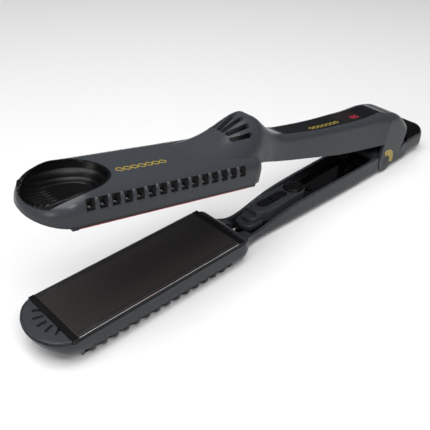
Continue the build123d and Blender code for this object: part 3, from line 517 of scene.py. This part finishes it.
def vent_shade_tray(mesh, x, side, z_range, back, reach):
    """A black tray of painted shade that lines one vent; reach(z) is how far out the shell's surface is."""
    def loop(inset, depth):
        """The tray's outline at one depth; with no depth, just inside the shell's surface."""
        wide, low, high = VENT_WIDTH / 2 - inset, z_range[0] + inset, z_range[1] - inset
        levels = [low + (high - low) * k / SHADE_TRAY_LEVELS for k in range(SHADE_TRAY_LEVELS + 1)]
        points = [(x - wide, z) for z in levels] + [(x + wide, z) for z in reversed(levels)]
        return [(px, side * (reach(z) - SHADE_TRAY_SUNK if depth is None else depth), z)
                for px, z in points]
    strip_tube(mesh, [loop(SHADE_TRAY_WALL, back + SHADE_TRAY_WALL), loop(SHADE_TRAY_WALL, None),
                      loop(SHADE_TRAY_GAP, None), loop(SHADE_TRAY_GAP, back)])


def make_vent_painted_shade():
    """Black trays that line the vents: painted shade, darkening the insides of the vents."""
    upper, lower = bmesh.new(), bmesh.new()
    for side in (-1, 1):
        for vent in range(VENT_COUNT):
            x = VENT_FIRST + vent * VENT_PITCH
            vent_shade_tray(upper, x, side, (VENT_FOOT, VENT_HEAD), UPPER_SHADE_TRAY_BACK,
                       lambda z: abs(shoulder_point(0, 1, z, 0)[1]))
            vent_shade_tray(lower, x, side, LOWER_VENT, LOWER_SHADE_TRAY_BACK, belly_reach)
    add_piece("upper_vent_painted_shade", upper, True, "upper_arm", "black_plastic")
    add_piece("lower_vent_painted_shade", lower, False, "lower_arm", "black_plastic")


def make_lower_vent_ribs():
    """Rounded ribs between the vents of the lower head."""
    skin = Skin(False, "lower_shell")
    mesh = bmesh.new()
    for side in (-1, 1):
        for vent in range(VENT_COUNT - 1):
            x = VENT_FIRST + (vent + 0.5) * VENT_PITCH
            path, radii = [], []
            for step in range(LOWER_RIB_POINTS):
                height = LOWER_RIB_TOP - step * LOWER_RIB_STEP
                reach = skin.side(x, height, side)
                if reach:
                    path.append((x, side * (reach - LOWER_RIB_SUNK), height))
                    radii.append(lower_rib_radius(step))
            if len(path) >= FEWEST_POINTS:
                bead(mesh, path, radii, sides=12)
    add_piece("lower_vent_ribs", mesh, False, "lower_arm", "housing")


RIM_X, RIM_LONG, RIM_HALF, RIM_Z = -264.6, 15.2, 20.6, 8.28
RIM_STEPS, RIM_RADIUS = 72, 0.42


def make_nose_rim():
    """Raised bead round the D-shaped nose cover."""
    mesh = bmesh.new()
    path = []
    for k in range(RIM_STEPS + 1):
        angle = pi * (0.5 + k / RIM_STEPS)
        path.append((RIM_X + RIM_LONG * cos(angle), RIM_HALF * sin(angle), RIM_Z))
    bead(mesh, path, [RIM_RADIUS] * len(path))
    add_piece("nose_cover_rim", mesh, False, "lower_arm", "housing")


NECK_RIBS, NECK_RIB_FIRST, NECK_RIB_PITCH = 5, -8.4, 4.1
NECK_RIB_X, NECK_RIB_STEP, NECK_RIB_Z, NECK_RIB_ARCH = -150.6, 0.55, 7.0, 0.35
NECK_RIB_RADII = (0.35, 0.6, 0.7, 0.72, 0.7, 0.6, 0.35)


def make_neck_ribs():
    """Row of short ribs behind the lower plate's rear strip."""
    mesh = bmesh.new()
    last = len(NECK_RIB_RADII) - 1
    for k in range(NECK_RIBS):
        y = NECK_RIB_FIRST + k * NECK_RIB_PITCH
        path = [(NECK_RIB_X + NECK_RIB_STEP * step, y,
                 NECK_RIB_Z + NECK_RIB_ARCH * sin(pi * step / last)) for step in range(last + 1)]
        bead(mesh, path, NECK_RIB_RADII)
    add_piece("neck_ribs", mesh, False, "lower_arm", "black_plastic")


# =========================================================================================
# Decoration: generic scrolls and the temperature display
# =========================================================================================

SCROLL_LOBES, STEPS_PER_LOBE = 7, 14
SCROLL_LIFT, SCROLL_SINK = 0.06, 0.12
# each scroll's start and end in plan, swing, width, and the level taken where a probe misses
DECK_SCROLL = ((-234.5, -4.4), (-203.5, -4.4), 1.7, 0.62, 26.5)
HANDLE_SCROLL = ((-87.0, -3.6), (-56.5, -3.6), 1.35, 0.52, 30.0)


def scroll(mesh, skin, start, end, swing, width, fallback):
    """Two crossing waves that make a chain, laid on a skin."""
    steps = SCROLL_LOBES * STEPS_PER_LOBE
    length = sqrt((end[0] - start[0]) ** 2 + (end[1] - start[1]) ** 2)
    along = ((end[0] - start[0]) / length, (end[1] - start[1]) / length)
    for turn in (-1, 1):
        path = []
        for k in range(steps + 1):
            share = k / steps
            offset = turn * swing * sin(pi * SCROLL_LOBES * share)
            path.append((start[0] + along[0] * share * length - along[1] * offset,
                         start[1] + along[1] * share * length + along[0] * offset))
        ribbon(mesh, path, width, SCROLL_LIFT, SCROLL_SINK,
               lambda x, y: skin.top(x, y) or fallback)


def make_scrolls():
    for name, node, shape in (("deck_scroll", "upper_shell", DECK_SCROLL),
                              ("handle_scroll", "handle_inlay", HANDLE_SCROLL)):
        mesh = bmesh.new()
        scroll(mesh, Skin(True, node), *shape)
        add_piece(name, mesh, True, "upper_arm", "yellow_accent")


SEGMENTS = {"1": "bc", "8": "abcdefg", "0": "abcdef"}
DIGIT_WIDE, DIGIT_TALL, DIGIT_GAP, DIGIT_BAR = 2.0, 3.3, 1.3, 0.42
DIGIT_LEFT, DIGIT_LOW = -43.0, -4.2
DIGIT_LIFT, DIGIT_SINK, GLASS_LEVEL = 0.03, 0.1, 32.0
BAR_SHARES = (0.16, 0.5, 0.84)          # points along a bar, which stops short of its corners


def make_digits():
    """The display's three digits, built of lit bars."""
    glass = Skin(True, "display_window")
    wide, tall = DIGIT_WIDE, DIGIT_TALL
    ends = {"a": ((0, tall), (wide, tall)), "b": ((wide, tall / 2), (wide, tall)),
            "c": ((wide, 0), (wide, tall / 2)), "d": ((0, 0), (wide, 0)),
            "e": ((0, 0), (0, tall / 2)), "f": ((0, tall / 2), (0, tall)),
            "g": ((0, tall / 2), (wide, tall / 2))}
    mesh = bmesh.new()
    for place, digit in enumerate("180"):
        left = DIGIT_LEFT + place * (wide + DIGIT_GAP)
        for segment in SEGMENTS[digit]:
            (ax, ay), (bx, by) = ends[segment]
            path = [(left + ax + (bx - ax) * share, DIGIT_LOW + ay + (by - ay) * share)
                    for share in BAR_SHARES]
            ribbon(mesh, path, DIGIT_BAR, DIGIT_LIFT, DIGIT_SINK,
                   lambda x, y: glass.top(x, y) or GLASS_LEVEL)
    add_piece("display_digits", mesh, True, "upper_arm", "display_glass", "lamp_red")


# =========================================================================================
# Lower plate's edge
# =========================================================================================

# thin black strips of painted groove shade along the plate's long edges
LINE_FIRST, LINE_STEP, LINE_POINTS = -263.4, 13.6, 9
LINE_SIDES = (17.6, 18.9)
LINE_WIDTH, LINE_LIFT, LINE_SINK, PLATE_LEVEL = 0.42, 0.02, 0.1, 9.05


def make_plate_groove_shade():
    """Two fine dark lines beside the plate's long edges: painted shade of grooves, drawn as thin black strips."""
    mesh = bmesh.new()
    for side in (-1, 1):
        for y in LINE_SIDES:
            path = [(LINE_FIRST + k * LINE_STEP, side * y) for k in range(LINE_POINTS)]
            ribbon(mesh, path, LINE_WIDTH, LINE_LIFT, LINE_SINK, lambda x, y: PLATE_LEVEL)
    add_piece("plate_groove_shade_lines", mesh, False, "floating_plate", "black_plastic")


make_camera()
make_floor()
make_studio()
make_materials()
dress_cad()
make_thumb_rest()
make_upper_vent_ribs()
make_lower_vent_ribs()
make_vent_painted_shade()
make_nose_rim()
make_neck_ribs()
make_scrolls()
make_digits()
make_plate_groove_shade()
